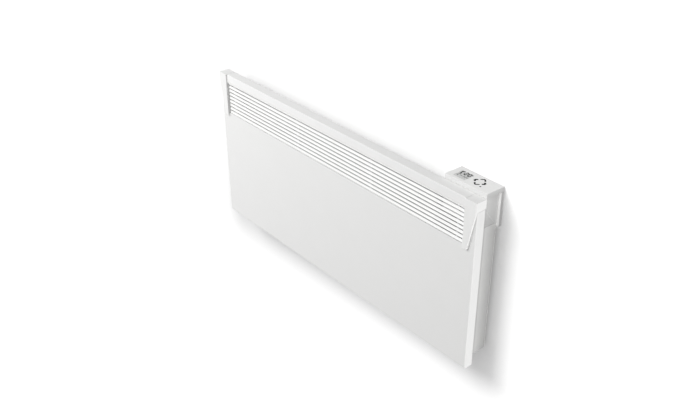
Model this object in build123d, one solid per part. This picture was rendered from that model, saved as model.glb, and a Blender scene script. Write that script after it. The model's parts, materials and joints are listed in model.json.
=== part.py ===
from build123d import *
import os
from math import atan2, degrees, hypot

# Wall panel convector heater: a folded front panel with a louvred outlet between two
# end caps, a sheet casing behind it, a control unit at the top right, the finned
# element inside, and the wall bracket that the heater hangs on.
# Millimetres. +X is to the right of someone facing it, +Y goes into the wall, +Z is up.
# The origin is the centre of the wall screws' pattern, on the wall's face.

# ---------------------------------------------------------------- driving dimensions
# front panel
panel_width = 860.0
panel_height = 394.0
wall_distance = 73.0        # panel's face to the wall
hang_height = 190.0         # wall screws' centre above the panel's bottom edge
box_depth = 24.0            # panel's face to the back of the outlet hood
panel_return = 22.0         # depth of the panel's folded sides
panel_sheet = 1.0
panel_corner = 2.5          # outside radius of the folded edges
side_lip = 6.5
bottom_lip = 18.0
outlet_lip = 7.0            # folded ledge along the lower edge of the outlet

# outlet hood and louvre
outlet_height = 102.5       # top of the hood to the lower edge of the outlet
strip_height = 21.0
strip_wall = 2.0
strip_recess = 3.2          # strip's face behind the end caps' faces
strip_shelf = 2.8
strip_back_gap = 1.5        # strip's rear edge above the top of the deflector
hood_proud = 4.5            # end caps' faces in front of the panel
cheek_top_width = 28.8
cheek_bottom_width = 12.3
cheek_drop = 6.2            # cheek's lower end below the outlet
cheek_corner = 4.0
cap_wall = 2.0
cap_edge = 0.8
cap_seam = 0.4
cap_tongue = 12.0
blade_pitch = 9.55
blade_lift = 1.55           # lowest blade's front edge above the outlet's lower edge
blade_depth = 3.8
blade_rise = 3.7
blade_thickness = 1.5
blade_mitre = 4.0           # how much shorter a blade's front edge is at each end
comb_depth = 5.0            # comb behind the blades' back edges
comb_thickness = 1.6
comb_count = 4
comb_inset = 22.0
throat_gap = 1.0            # back of the combs to the partition

# casing
casing_sheet = 1.0
casing_bend = 2.0
side_inset = 6.0            # casing's side inside the panel's side
casing_gap = 8.0            # casing's back to the wall
casing_rise = 20.0          # casing's floor above the panel's bottom edge
deflector_rise = 56.0
flange_drop = 16.0          # casing's front flange below its floor
end_flange = 12.0
window_width = 78.0
window_web = 12.0
window_corner = 3.0
window_margin = 5.0
guard_bar = 2.0
guard_height = 3.0
guard_pitch = 7.0

# air chamber
bay_width = 113.0           # partition to the casing's side
partition_sheet = 1.0
shield_sheet = 0.8
shield_gap = 8.0            # panel's inner face to the heat shield
shield_flange = 18.0
shield_low = 40.0           # shield's lower edge above the panel's bottom edge
shield_top_gap = 28.0       # shield's upper edge below the outlet
element_length = 690.0
element_height = 105.0      # element's centre above the panel's bottom edge
element_setback = 28.0      # element's centre in front of the casing's back
wing_half_width = 18.0
wing_half_height = 28.0
wing_thickness = 2.2
wing_slot_pitch = 16.0
wing_slot_width = 3.0
wing_slot_start = 11.0      # slots begin this far above and below the centre
hub_radius = 8.0
rod_radius = 5.0
rod_clearance = 0.1
pin_radius = 1.6
pin_length = 14.0
pin_spacing = 5.0
rod_end = 2.0               # rod's end past the bush
bush_radius = 9.0
bush_flange_radius = 12.0
bush_flange = 4.0
bush_length = 14.0
bracket_plate = 1.5
bracket_foot = 18.0
bracket_width = 30.0

# control unit
unit_width = 110.2
lid_depth = 48.5
lid_height = 9.8
lid_wall = 2.0
lid_edge = 0.8
lid_corner = 1.2
lid_drop = 0.1              # lid's lower edge below the hood's top
lid_seam = 0.55             # open joint between the lid and the control body
unit_overhang = 5.3         # lid's side outside the control body's side
unit_wall = 2.2
unit_ledge = 2.4
unit_corner = 1.5
seam_rise = 6.5             # seam under the control body above the casing's shoulder
crease_depth = 0.8
crease_inset = 6.0          # crease's ends inside the control body's front and back
crease_top_gap = 8.0
rear_cover_lap = 8.3        # rear cover's lower edge below the seam
rear_cover_wall = 2.0
wall_clearance = 0.5
unit_screw_inset = 11.0
unit_boss_radius = 4.5
display_width = 30.5
display_depth = 28.4
display_left = 14.2         # window's edge from the lid's left side
display_back = 11.6         # window's edge from the lid's back
display_glass = 1.6
display_frame = 1.5
touch_right = 41.8          # touch keys' centre from the lid's right side
touch_back = 23.2           # touch keys' centre from the lid's back
touch_pad_radius = 3.0
touch_pad_ring = 9.0        # pads under the lid, nearer the centre than the marks
board_sheet = 1.6
board_depth_below_rim = 3.6

# power electronics
power_board_width = 88.0
power_board_height = 118.0
power_board_rise = 20.0     # board's lower edge above the casing's floor
power_board_setback = 8.0   # standoffs' length
standoff_floor = 2.0
standoff_radius = 3.2
board_margin = 6.0
screw_radius = 1.5
screw_head_radius = 2.8
screw_head = 1.8
screw_length = 6.0
flange_screw_count = 5
flange_screw_inset = 40.0   # outer screws to the casing's sides
strip_screw_count = 4
strip_screw_left = 60.0
strip_screw_right = 40.0    # last screw to the control unit
component_rise = 80.0       # relay's and supply's centre above the board's lower edge
component_gap = 3.0         # relay's and supply's sides to the board's middle
relay_size = (28.0, 16.0, 20.0)
relay_edge = 1.0
terminal_size = (44.0, 13.0, 13.0)
terminal_ways = 4
terminal_depth = 5.0        # depth of the openings for the leads
lead_end_gap = 0.5
supply_size = (26.0, 15.0, 24.0)
supply_edge = 2.0
capacitor_radius = 6.0
capacitor_length = 20.0
capacitor_places = (-24.0, -4.0)    # from the board's middle
connector_size = (14.0, 6.0, 8.0)
ribbon_width = 12.0
ribbon_sheet = 0.9
ribbon_bend = 12.0
ribbon_straight = 40.0      # straight run at each connector

# mains switch, cable inlet, sensor
switch_right = 62.0         # switch's centre from the casing's side
inlet_right = 27.0
floor_fittings_setback = 22.0
switch_length = 21.0
switch_width = 15.0
switch_bezel = 1.6
switch_body_height = 19.0
switch_frame = 1.5
switch_bezel_corner = 1.0
switch_tab_pitch = 5.0
tab_width = 4.8
tab_thickness = 0.8
tab_length = 8.0
rocker_radius = 8.4
rocker_width = 9.6
rocker_tilt = 7.0
rocker_gap = 0.3
rocker_waist = 3.4
rocker_end_drop = 2.2
pivot_above_floor = 1.5
pivot_radius = 1.5
pivot_length = 1.4
gland_bore_radius = 4.0
gland_thread_radius = 7.9
gland_hex = 20.0
gland_hex_height = 7.0
gland_nut_height = 4.0
gland_length = 22.0
sensor_radius = 2.5
sensor_length = 14.0
sensor_right = 96.0
sensor_drop = 5.0           # sensor's tip below the floor
sensor_holder_radius = 4.5
sensor_holder_drop = 4.0
sensor_holder_rise = 6.0
sensor_flange = 2.0         # width and thickness of the holder's flange
cutout_radius = 8.0
cutout_height = 9.0
cutout_above_element = 58.0
lead_radius = 1.2
lead_drop = 12.0

# wall bracket
rail_spacing = 400.0
rail_length = 250.0
rail_width = 32.0
rail_sheet = 2.0
rail_bend = 2.5
rail_clearance = 0.3        # rail's flanges to the casing
hook_level = 100.0          # hooks' seats above and below the origin
hook_finger = 8.0
hook_arm = 6.0
hook_finger_depth = 4.7
hook_corner = 1.5
hook_seat_clearance = 0.2
hook_slot_side = 0.9
hook_slot_relief = 1.5      # slot's lower end below the arm when the heater is lifted
lift_travel = 11.0
screw_rows = 200.0          # wall screws, height
wall_hole_radius = 3.0
cross_bar_height = 40.0
cross_bar_depth = 5.0
rivet_radius = 1.5
rivet_head_radius = 3.0
rivet_head = 1.2
rivet_spacing = 18.0
cleat_leg = 22.0
cleat_bend = 2.1
cleat_side_gap = 1.0        # cleat's ends to the cross bar's flanges
side_rivet_radius = 1.2
side_rivet_head_radius = 1.7

snug = 0.2                  # clearance between assembled shells
close_fit = 0.05            # clearance of screws, rivets and axles in their holes
over = 1.0                  # how far cutters reach past a face and fused blocks into each other

# ---------------------------------------------------------------- derived places
panel_half = panel_width / 2
panel_front = -wall_distance
panel_inside = panel_front + panel_sheet
lip_back = panel_front + panel_return
hood_back = panel_front + box_depth
hood_front = panel_front - hood_proud
strip_front = hood_front + strip_recess
panel_bottom = -hang_height
panel_top = panel_bottom + panel_height
strip_bottom = panel_top - strip_height
outlet_bottom = panel_top - outlet_height
cheek_inside = panel_half - cheek_top_width
outlet_half = cheek_inside + cap_wall + snug
blade_back = panel_front + blade_depth
comb_back = blade_back + comb_depth
outlet_room = strip_bottom - outlet_bottom
blade_count = int((outlet_room - blade_lift - blade_thickness) / blade_pitch) + 1

casing_half = panel_half - side_inset
casing_back = -casing_gap
casing_inside = casing_back - casing_sheet
casing_floor = panel_bottom + casing_rise
floor_top = casing_floor + casing_sheet
flange_back = lip_back + casing_sheet
deflector_top = strip_bottom + cap_wall
shoulder = deflector_top - deflector_rise
strip_inside_back = hood_back - strip_wall
seam_level = shoulder + seam_rise

partition_left = casing_half - bay_width
partition_right = partition_left + partition_sheet
unit_right = panel_half - side_inset + unit_overhang
unit_left = unit_right - unit_width
control_right = unit_right - unit_overhang
lid_bottom = panel_top - lid_drop
lid_top = lid_bottom + lid_height
lid_front = hood_back + snug
lid_back = lid_front + lid_depth
control_front = hood_back + snug
control_back = casing_back - snug
touch_board_top = lid_bottom - board_depth_below_rim + board_sheet

shield_front = panel_inside + shield_gap
element_y = casing_back - element_setback
element_z = panel_bottom + element_height
element_right = partition_left - bush_length
element_left = element_right - element_length
bracket_right = element_left - bush_flange
board_back = casing_inside - power_board_setback
board_front = board_back - board_sheet
board_left = partition_right + (casing_half - partition_right - power_board_width) / 2
board_bottom = floor_top + power_board_rise
fittings_y = casing_back - floor_fittings_setback
switch_x = casing_half - switch_right
inlet_x = casing_half - inlet_right
sensor_x = casing_half - sensor_right
pivot_z = casing_floor + pivot_above_floor
rail_front = casing_back + rail_clearance
cleat_rivet_y = (rail_front - 2 * rail_sheet) / 2


# ---------------------------------------------------------------- ways of making
def block(x, y, z):
    """A box between the low and high value of each axis."""
    size = [high - low for low, high in (x, y, z)]
    centre = [(high + low) / 2 for low, high in (x, y, z)]
    return Pos(*centre) * Box(*size)


def prism_along_x(outline, x):
    """A closed outline of (y, z) points drawn out along X."""
    face = make_face(Polyline(*outline, close=True))
    return Pos(x[0], 0, 0) * extrude(Plane.YZ * face, x[1] - x[0])


def prism_along_y(outline, y):
    """A closed outline of (x, z) points drawn out along Y."""
    face = make_face(Polyline(*outline, close=True))
    return Pos(0, y[1], 0) * extrude(Plane.XZ * face, y[1] - y[0])


def bent_sheet(path, sheet, bend, side):
    """The section of a folded sheet, from the points of its outer face."""
    outer = FilletPolyline(*path, radius=bend)
    return make_face(offset(outer, amount=sheet, side=side, closed=True))


def rod_along(axis, centre, radius, low, high):
    """A round rod along X, Y or Z, centred on the two other coordinates."""
    turn = {"x": Rot(0, 90, 0), "y": Rot(-90, 0, 0), "z": Rot(0, 0, 0)}[axis]
    middle = (low + high) / 2
    place = {
        "x": (middle, centre[0], centre[1]),
        "y": (centre[0], middle, centre[1]),
        "z": (centre[0], centre[1], middle),
    }[axis]
    return Pos(*place) * turn * Cylinder(radius, high - low)


def wire(points, radius):
    """A round lead along straight runs with mitred corners."""
    path = Polyline(*points)
    start = Plane(origin=path @ 0, z_dir=path % 0)
    return sweep(start * Circle(radius), path=path, transition=Transition.RIGHT)


def spread(low, high, count):
    """Evenly spaced places from low to high."""
    return [low + (high - low) * i / (count - 1) for i in range(count)]


def deflector_under(y, clearance):
    """Height of the deflector's lower face at y, less a clearance."""
    run = casing_back - strip_inside_back
    slant = hypot(run, deflector_rise)
    outer = shoulder + (casing_back - y) * deflector_rise / run
    return outer - (casing_sheet + clearance) * slant / run


# ---------------------------------------------------------------- front box
def make_front_panel():
    top = strip_bottom - cap_seam
    outer = block((-panel_half, panel_half), (panel_front, lip_back), (panel_bottom, top))
    folds = outer.faces().sort_by(Axis.Y)[0].edges().sort_by(Axis.Z)[:-1]
    outer = fillet(folds, panel_corner)
    inner_half = panel_half - panel_sheet
    inner_back = lip_back - panel_sheet
    inner_bottom = panel_bottom + panel_sheet
    inner = block((-inner_half, inner_half), (panel_inside, inner_back), (inner_bottom, top + over))
    inner_folds = inner.faces().sort_by(Axis.Y)[0].edges().sort_by(Axis.Z)[:-1]
    inner = fillet(inner_folds, panel_corner - panel_sheet)
    back_half = panel_half - side_lip
    back_room = block(
        (-back_half, back_half),
        (inner_back - over, lip_back + over),
        (panel_bottom + bottom_lip, top + over),
    )
    outlet = block(
        (-outlet_half, outlet_half),
        (panel_front - over, panel_inside + over),
        (outlet_bottom, top + over),
    )
    ledge = block(
        (-outlet_half, outlet_half),
        (panel_front, panel_front + outlet_lip),
        (outlet_bottom - panel_sheet, outlet_bottom),
    )
    holes = screw_holes(flange_screw_places(), lip_back)
    return outer - inner - back_room - outlet - holes + ledge


def make_top_strip():
    path = [
        (strip_front + strip_shelf, strip_bottom),
        (strip_front, strip_bottom),
        (strip_front, panel_top),
        (hood_back, panel_top),
        (hood_back, deflector_top + strip_back_gap),
    ]
    section = bent_sheet(path, strip_wall, strip_wall / 2, Side.RIGHT)
    ends = cheek_inside - cap_seam
    strip = Pos(-ends, 0, 0) * extrude(Plane.YZ * section, 2 * ends)
    return strip - screw_holes(strip_screw_places(), strip_inside_back)


def make_right_cap():
    cheek_bottom = outlet_bottom - cheek_drop
    cheek_outline = [
        (cheek_inside, cheek_bottom),
        (cheek_inside + cheek_bottom_width, cheek_bottom),
        (panel_half, strip_bottom),
        (panel_half, panel_top),
        (cheek_inside, panel_top),
    ]
    cheek_face = make_face(Polyline(*cheek_outline, close=True))
    for corner, radius in ((cheek_outline[1], cheek_corner), (cheek_outline[0], cap_edge)):
        vertex = cheek_face.vertices().sort_by_distance(corner)[0]
        cheek_face = fillet(vertex, radius)
    cheek = Pos(0, panel_front, 0) * extrude(Plane.XZ * cheek_face, hood_proud)
    head = block((cheek_inside, panel_half), (hood_front, hood_back), (strip_bottom, panel_top))
    cap = cheek + head
    front_edges = cap.faces().sort_by(Axis.Y)[0].edges()
    cap = fillet(front_edges, cap_edge)
    hollow = block(
        (cheek_inside + cap_wall, panel_half - cap_wall),
        (panel_front, hood_back - cap_wall),
        (strip_bottom - over, panel_top - cap_wall),
    )
    inner_wall = block(
        (cheek_inside, cheek_inside + cap_wall),
        (panel_front - over, comb_back),
        (outlet_bottom, panel_top - cap_wall),
    )
    tongue_side = panel_half - panel_sheet - snug
    tongue = block(
        (tongue_side - cap_wall, tongue_side),
        (panel_inside + snug + panel_corner, hood_back - cap_wall - 2 * panel_sheet),
        (strip_bottom - cap_tongue, panel_top - cap_wall),
    )
    return cap - hollow + inner_wall + tongue


def blade_outline(level):
    """A louvre blade's section: it slopes up and back from its front edge."""
    return [
        (panel_front, level),
        (blade_back, level + blade_rise),
        (blade_back, level + blade_rise + blade_thickness),
        (panel_front, level + blade_thickness),
    ]


def blade_gap_outline(level):
    """The air gap above a blade, up to the level of the next blade's front edge."""
    return [
        (panel_front, level + blade_thickness),
        (blade_back, level + blade_rise + blade_thickness),
        (blade_back, level + blade_pitch),
        (panel_front, level + blade_pitch),
    ]


def make_blade(level):
    reach = cheek_inside
    plan = [
        (-reach + blade_mitre, panel_front),
        (reach - blade_mitre, panel_front),
        (reach, blade_back),
        (-reach, blade_back),
    ]
    mitres = extrude(make_face(Polyline(*plan, close=True)), blade_pitch)
    slab = prism_along_x(blade_outline(level), (-reach, reach))
    return slab & (Pos(0, 0, level) * mitres)


def make_comb(x):
    """A rib behind the blades, with a tooth under each blade's rear half."""
    half = comb_thickness / 2
    grip = panel_front + blade_depth / 2
    rib = block((x - half, x + half), (grip, comb_back), (outlet_bottom, strip_bottom))
    for level in blade_levels:
        rib -= prism_along_x(blade_outline(level), (x - comb_thickness, x + comb_thickness))
    for level in blade_levels:
        rib -= prism_along_x(blade_gap_outline(level), (x - comb_thickness, x + comb_thickness))
    return rib


# ---------------------------------------------------------------- casing
def make_rear_casing():
    shared = [
        (flange_back, casing_floor - flange_drop),
        (flange_back, casing_floor),
        (casing_back, casing_floor),
    ]
    chamber_path = shared + [
        (casing_back, shoulder),
        (strip_inside_back, deflector_top),
        (strip_inside_back, panel_top - strip_wall - snug),
    ]
    bay_path = shared + [(casing_back, seam_level)]
    chamber = bent_sheet(chamber_path, casing_sheet, casing_bend, Side.LEFT)
    bay = bent_sheet(bay_path, casing_sheet, casing_bend, Side.LEFT)
    bay_left = unit_left - snug
    casing = Pos(-casing_half, 0, 0) * extrude(Plane.YZ * chamber, casing_half + bay_left)
    casing += Pos(bay_left, 0, 0) * extrude(Plane.YZ * bay, casing_half - bay_left)
    past_cap = block(
        (-panel_half, -cheek_inside + cap_seam),
        (panel_inside, hood_back + over),
        (strip_bottom - cap_seam, panel_top),
    )
    holes = screw_holes(flange_screw_places(), lip_back)
    holes += screw_holes(strip_screw_places(), strip_inside_back)
    return casing - floor_windows() - hook_slots() - floor_holes() - past_cap - holes


def floor_windows():
    depth = casing_back - flange_back - 2 * window_margin
    middle = (casing_back + flange_back) / 2
    room = partition_left - window_margin - (element_left - window_margin)
    count = int(room / (window_width + window_web))
    pitch = room / count
    shape = RectangleRounded(window_width, depth, window_corner)
    start = element_left + pitch / 2
    return [
        Pos(start + i * pitch, middle, casing_floor - over) * extrude(shape, casing_sheet + 2 * over)
        for i in range(count)
    ]


def hook_places():
    """X of the four hook plates: both flanges of both rails."""
    flange = (rail_width - rail_sheet) / 2
    return [side * rail_spacing / 2 + edge * flange for side in (-1, 1) for edge in (-1, 1)]


def hook_slots():
    half = rail_sheet / 2 + hook_slot_side
    return [
        block(
            (x - half, x + half),
            (casing_inside - over, casing_back + over),
            (level - hook_arm - lift_travel - hook_slot_relief, level + hook_seat_clearance),
        )
        for x in hook_places()
        for level in (-hook_level, hook_level)
    ]


def floor_holes():
    """Holes in the floor under the bay: switch, cable inlet and room sensor."""
    low, high = casing_floor - over, floor_top + over
    body_x = switch_length / 2 - switch_frame
    body_y = switch_width / 2 - switch_frame / 2
    switch_hole = block(
        (switch_x - body_x, switch_x + body_x),
        (fittings_y - body_y, fittings_y + body_y),
        (low, high),
    )
    inlet_hole = rod_along("z", (inlet_x, fittings_y), gland_thread_radius + snug, low, high)
    sensor_hole = rod_along("z", (sensor_x, fittings_y), sensor_holder_radius + snug, low, high)
    return [switch_hole, inlet_hole, sensor_hole]


def make_casing_end(side):
    """A folded end plate that stands inside the casing; side is -1 left, +1 right."""
    flange_top = casing_back - casing_sheet
    path = [
        (panel_half - panel_sheet, flange_back),
        (casing_half, flange_back),
        (casing_half, flange_top),
        (casing_half - end_flange, flange_top),
    ]
    section = bent_sheet(path, casing_sheet, casing_bend, Side.LEFT)
    low = floor_top
    plate = Pos(0, 0, low) * extrude(section, panel_top - low)
    corner = casing_bend
    outline = [
        (lip_back, low),
        (casing_inside - corner, low),
        (casing_inside, low + corner),
    ]
    if side > 0:
        outline += [(casing_inside, seam_level), (lip_back, seam_level)]
    else:
        outline += [
            (casing_inside, deflector_under(casing_inside, snug)),
            (lip_back, deflector_under(lip_back, snug)),
        ]
    plate &= prism_along_x(outline, (casing_half - end_flange - over, panel_half))
    return plate if side > 0 else plate.mirror(Plane.YZ)


def make_inlet_guard():
    """Bars under the floor's windows that keep fingers out."""
    low = flange_back + window_margin
    high = casing_back - window_margin
    count = int((high - low) / guard_pitch) + 1
    edge = (high - low - (count - 1) * guard_pitch) / 2
    start = element_left - window_web
    return [
        block(
            (start, partition_left),
            (low + edge + i * guard_pitch - guard_bar / 2, low + edge + i * guard_pitch + guard_bar / 2),
            (casing_floor - guard_height, casing_floor),
        )
        for i in range(count)
    ]


def make_partition():
    """The wall between the air chamber and the electronics."""
    front = panel_inside + snug
    throat = comb_back + throat_gap
    lip_front = lip_back - panel_sheet - snug
    flange_front = strip_inside_back - casing_sheet - snug
    low = floor_top
    rear = casing_inside
    outline = [
        (front, panel_bottom + panel_sheet + panel_corner),
        (front + panel_corner, panel_bottom + panel_sheet + snug),
        (lip_front, panel_bottom + panel_sheet + snug),
        (lip_front, low + snug),
        (rear - casing_bend, low + snug),
        (rear, low + snug + casing_bend),
        (rear, deflector_under(rear, snug)),
        (flange_front, deflector_under(flange_front, snug)),
        (flange_front, strip_bottom - snug),
        (throat, strip_bottom - snug),
        (throat, outlet_bottom - panel_sheet - snug),
        (front, outlet_bottom - panel_sheet - snug),
    ]
    wall = prism_along_x(outline, (partition_left, partition_right))
    flange = block(
        (partition_left, partition_right + end_flange),
        (rear - partition_sheet, rear),
        (low + casing_bend + snug, deflector_under(rear, snug) - casing_bend),
    )
    bush_hole = rod_along(
        "x", (element_y, element_z), bush_radius + snug, partition_left - over, partition_right + over
    )
    return wall + flange - bush_hole


# ---------------------------------------------------------------- heating
def make_heat_shield():
    left = -casing_half + casing_sheet
    rear = shield_front + shield_flange
    path = [(left, rear), (left, shield_front), (partition_left, shield_front), (partition_left, rear)]
    section = bent_sheet(path, shield_sheet, casing_bend, Side.LEFT)
    low = panel_bottom + shield_low
    high = outlet_bottom - shield_top_gap
    return Pos(0, 0, low) * extrude(section, high - low)


def make_element():
    """Aluminium section of four slotted wings around the tube of the heater rod."""
    slant = degrees(atan2(wing_half_height, wing_half_width))
    reach = 2 * hypot(wing_half_width, wing_half_height)
    section = Circle(hub_radius)
    section += Rot(0, 0, slant) * Rectangle(reach, wing_thickness)
    section += Rot(0, 0, -slant) * Rectangle(reach, wing_thickness)
    section -= Circle(rod_radius + rod_clearance)
    place = Pos(element_left, element_y, element_z)
    body = place * extrude(Plane.YZ * section, element_length)
    count = int(element_length / wing_slot_pitch)
    margin = (element_length - (count - 1) * wing_slot_pitch) / 2
    tip = wing_half_height + wing_thickness
    slots = []
    for i in range(count):
        x = element_left + margin + i * wing_slot_pitch
        for side in (-1, 1):
            height = sorted((element_z + side * wing_slot_start, element_z + side * tip))
            slots.append(
                block(
                    (x - wing_slot_width / 2, x + wing_slot_width / 2),
                    (element_y - 2 * wing_half_width, element_y + 2 * wing_half_width),
                    height,
                )
            )
    return body - slots


def make_heater_rod():
    right = partition_right + bush_flange + rod_end
    left = bracket_right - bracket_plate - bush_flange
    rod = rod_along("x", (element_y, element_z), rod_radius, left, right)
    for side in (-1, 1):
        centre = (element_y, element_z + side * pin_spacing / 2)
        rod += rod_along("x", centre, pin_radius, right - over, right + pin_length)
    return rod


def make_bush(element_end, plate_face, outward):
    """A ceramic bush from the element to a plate, with its flange on the plate's far face."""
    centre = (element_y, element_z)
    flange_end = plate_face + outward * bush_flange
    bush = rod_along("x", centre, bush_radius, *sorted((element_end, plate_face)))
    bush += rod_along("x", centre, bush_flange_radius, *sorted((plate_face, flange_end)))
    ends = sorted((element_end - outward, flange_end + outward))
    return bush - rod_along("x", centre, rod_radius + rod_clearance, *ends)


def make_element_bracket():
    """A folded stand on the casing's floor that carries the element's left end."""
    path = [
        (bracket_right - bracket_foot, floor_top),
        (bracket_right, floor_top),
        (bracket_right, element_z + bush_flange_radius + bracket_plate),
    ]
    section = bent_sheet(path, bracket_plate, casing_bend, Side.LEFT)
    y_front = element_y - bracket_width / 2
    stand = Pos(0, y_front + bracket_width, 0) * extrude(Plane.XZ * section, bracket_width)
    plate = (bracket_right - 2 * bracket_plate, bracket_right + over)
    return stand - rod_along("x", (element_y, element_z), bush_radius + snug, *plate)


def make_thermal_cutout():
    centre = (element_y, element_z + cutout_above_element)
    can = rod_along("x", centre, cutout_radius, partition_right, partition_right + cutout_height)
    can_end = partition_right + cutout_height
    half_width, half_sheet = tab_width / 2, tab_thickness / 2
    for side in (-1, 1):
        z = centre[1] + side * cutout_radius / 2
        can += block(
            (can_end - over, can_end + tab_length),
            (element_y - half_width, element_y + half_width),
            (z - half_sheet, z + half_sheet),
        )
    return can


# ---------------------------------------------------------------- control unit
def make_control_body():
    """Open tube between the casing's seam and the lid, with a ledge for the touch board."""
    low, high = seam_level + snug, lid_bottom - lid_seam
    left = unit_left + snug
    outer = block((left, control_right), (control_front, control_back), (low, high))
    outer = fillet(outer.edges().filter_by(Axis.Z), unit_corner)
    ledge_level = touch_board_top - board_sheet
    lower = block(
        (left + unit_wall + unit_ledge, control_right - unit_wall - unit_ledge),
        (control_front + unit_wall + unit_ledge, control_back - unit_wall - unit_ledge),
        (low - over, high + over),
    )
    upper = block(
        (left + unit_wall, control_right - unit_wall),
        (control_front + unit_wall, control_back - unit_wall),
        (ledge_level, high + over),
    )
    skirt = block(
        (left + unit_wall, control_right - unit_wall),
        (control_front + unit_wall, control_back - unit_wall),
        (low - over, ledge_level - 2 * unit_ledge),
    )
    run = casing_back - strip_inside_back
    crease_top = shoulder + (casing_back - control_front) * deflector_rise / run
    crease = prism_along_x(
        [
            (control_front + crease_inset, low - over),
            (control_back - crease_inset, low - over),
            (control_back - crease_inset, low + over),
            (control_front + crease_inset, crease_top - crease_top_gap),
        ],
        (control_right - crease_depth, control_right + over),
    )
    holes = screw_holes(unit_screw_places(), control_back)
    return outer - lower - upper - skirt - crease - holes


def make_lid():
    outer = block((unit_left, unit_right), (lid_front, lid_back), (lid_bottom, lid_top))
    outer = fillet(outer.edges().filter_by(Axis.Z), lid_corner)
    outer = fillet(outer.faces().sort_by(Axis.Z)[-1].edges(), lid_edge)
    inner = block(
        (unit_left + lid_wall, unit_right - lid_wall),
        (lid_front + lid_wall, lid_back - lid_wall),
        (lid_bottom - over, lid_top - lid_wall),
    )
    return outer - inner - display_opening(0, lid_bottom, lid_top + over)


def display_opening(inset, low, high):
    left = unit_left + display_left
    back = lid_back - display_back
    return block(
        (left + inset, left + display_width - inset),
        (back - display_depth + inset, back - inset),
        (low, high),
    )


def make_display_window():
    pane = display_opening(snug / 2, lid_top - lid_wall, lid_top - snug / 2)
    flange = display_opening(-display_frame, lid_top - lid_wall - display_glass, lid_top - lid_wall)
    return pane + flange


def make_display_module():
    low = touch_board_top
    high = lid_top - lid_wall - display_glass
    frame = display_opening(-display_frame, low, high)
    glass_seat = display_opening(display_frame, high - display_frame, high + over)
    return frame - glass_seat


def touch_centres():
    x = unit_right - touch_right
    y = lid_back - touch_back
    ring = touch_pad_ring
    return [(x - ring, y), (x + ring, y), (x, y - ring), (x, y + ring)]


def make_touch_pads():
    """Conductive rubber columns between the touch board and the lid."""
    high = lid_top - lid_wall
    return [rod_along("z", c, touch_pad_radius, touch_board_top, high) for c in touch_centres()]


def make_touch_board():
    left = unit_left + snug + unit_wall + snug
    right = control_right - unit_wall - snug
    front = control_front + unit_wall + snug
    back = control_back - unit_wall - snug
    board = block((left, right), (front, back), (touch_board_top - board_sheet, touch_board_top))
    socket = connector_block(ribbon_x(), (front + back) / 2, touch_board_top - board_sheet, -1)
    return board + socket


def ribbon_x():
    return board_left + power_board_width - connector_size[0]


def connector_block(x, y, level, side):
    """A ribbon connector that stands on a board's face at this level."""
    half_x, half_y = connector_size[0] / 2, connector_size[1] / 2
    height = sorted((level, level + side * connector_size[2]))
    return block((x - half_x, x + half_x), (y - half_y, y + half_y), height)


def unit_screw_places():
    """X and Z of the screws that hold the rear cover to the control body."""
    xs = (unit_left + unit_screw_inset, control_right - unit_screw_inset)
    zs = (seam_level + unit_screw_inset, lid_bottom - unit_screw_inset)
    return [(x, z) for x in xs for z in zs]


def make_unit_screws():
    """Screws sunk in the rear cover's bosses, driven from the wall side."""
    seat = -wall_clearance - 2 * screw_head
    length = seat - control_back + 2 * unit_wall
    return [screw_along_y(x, z, seat, length) for x, z in unit_screw_places()]


def make_rear_cover():
    """A shallow tray behind the control body; its edge shows past the body's side."""
    low, high = seam_level - rear_cover_lap, lid_bottom - lid_seam
    back = -wall_clearance
    front = casing_back
    outer = block((unit_left, unit_right), (front, back), (low, high))
    outer = fillet(outer.edges().filter_by(Axis.Y), unit_corner)
    outer = fillet(outer.faces().sort_by(Axis.Y)[-1].edges(), cap_edge)
    inner = block(
        (unit_left + rear_cover_wall, control_right - rear_cover_wall),
        (front - over, back - rear_cover_wall),
        (seam_level + rear_cover_wall, high - rear_cover_wall),
    )
    cover = outer - inner
    seat = back - 2 * screw_head
    for place in unit_screw_places():
        cover += rod_along("y", place, unit_boss_radius, front, back - rear_cover_wall)
        cover -= rod_along("y", place, screw_head_radius + snug, seat, back + over)
        cover -= rod_along("y", place, screw_radius + close_fit, front - over, seat + over)
    return cover


# ---------------------------------------------------------------- electronics
def board_corners():
    xs = (board_left + board_margin, board_left + power_board_width - board_margin)
    zs = (board_bottom + board_margin, board_bottom + power_board_height - board_margin)
    return [(x, z) for x in xs for z in zs]


def make_power_board():
    board = block(
        (board_left, board_left + power_board_width),
        (board_front, board_back),
        (board_bottom, board_bottom + power_board_height),
    )
    holes = [
        rod_along("y", corner, screw_radius + snug, board_front - over, board_back + over)
        for corner in board_corners()
    ]
    header_z = board_bottom + power_board_height - 2 * board_margin
    half = connector_size[0] / 2
    header = block(
        (ribbon_x() - half, ribbon_x() + half),
        (board_front - connector_size[1], board_front),
        (header_z - connector_size[2], header_z),
    )
    return board - holes + header


def make_standoffs():
    posts = [rod_along("y", c, standoff_radius, board_back, casing_inside) for c in board_corners()]
    return [
        post - rod_along("y", c, screw_radius, board_back - over, casing_inside - standoff_floor)
        for post, c in zip(posts, board_corners())
    ]


def make_board_screws():
    shank_end = board_front + screw_length
    return [
        rod_along("y", c, screw_radius - close_fit, board_front, shank_end)
        + rod_along("y", c, screw_head_radius, board_front - screw_head, board_front)
        for c in board_corners()
    ]


def on_board(x, z, size):
    """A block of this size on the power board's front, centred at x and z."""
    return block(
        (x - size[0] / 2, x + size[0] / 2),
        (board_front - size[1], board_front),
        (z - size[2] / 2, z + size[2] / 2),
    )


def board_middle():
    return board_left + power_board_width / 2


def terminal_z():
    return board_bottom + board_margin * 2 + terminal_size[2]


def make_terminal_block():
    body = on_board(board_middle(), terminal_z(), terminal_size)
    for way in range(terminal_ways):
        x, y, top = terminal_mouth(way)
        body -= rod_along("z", (x, y), lead_radius + snug, top - terminal_depth, top + over)
    return body


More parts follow.
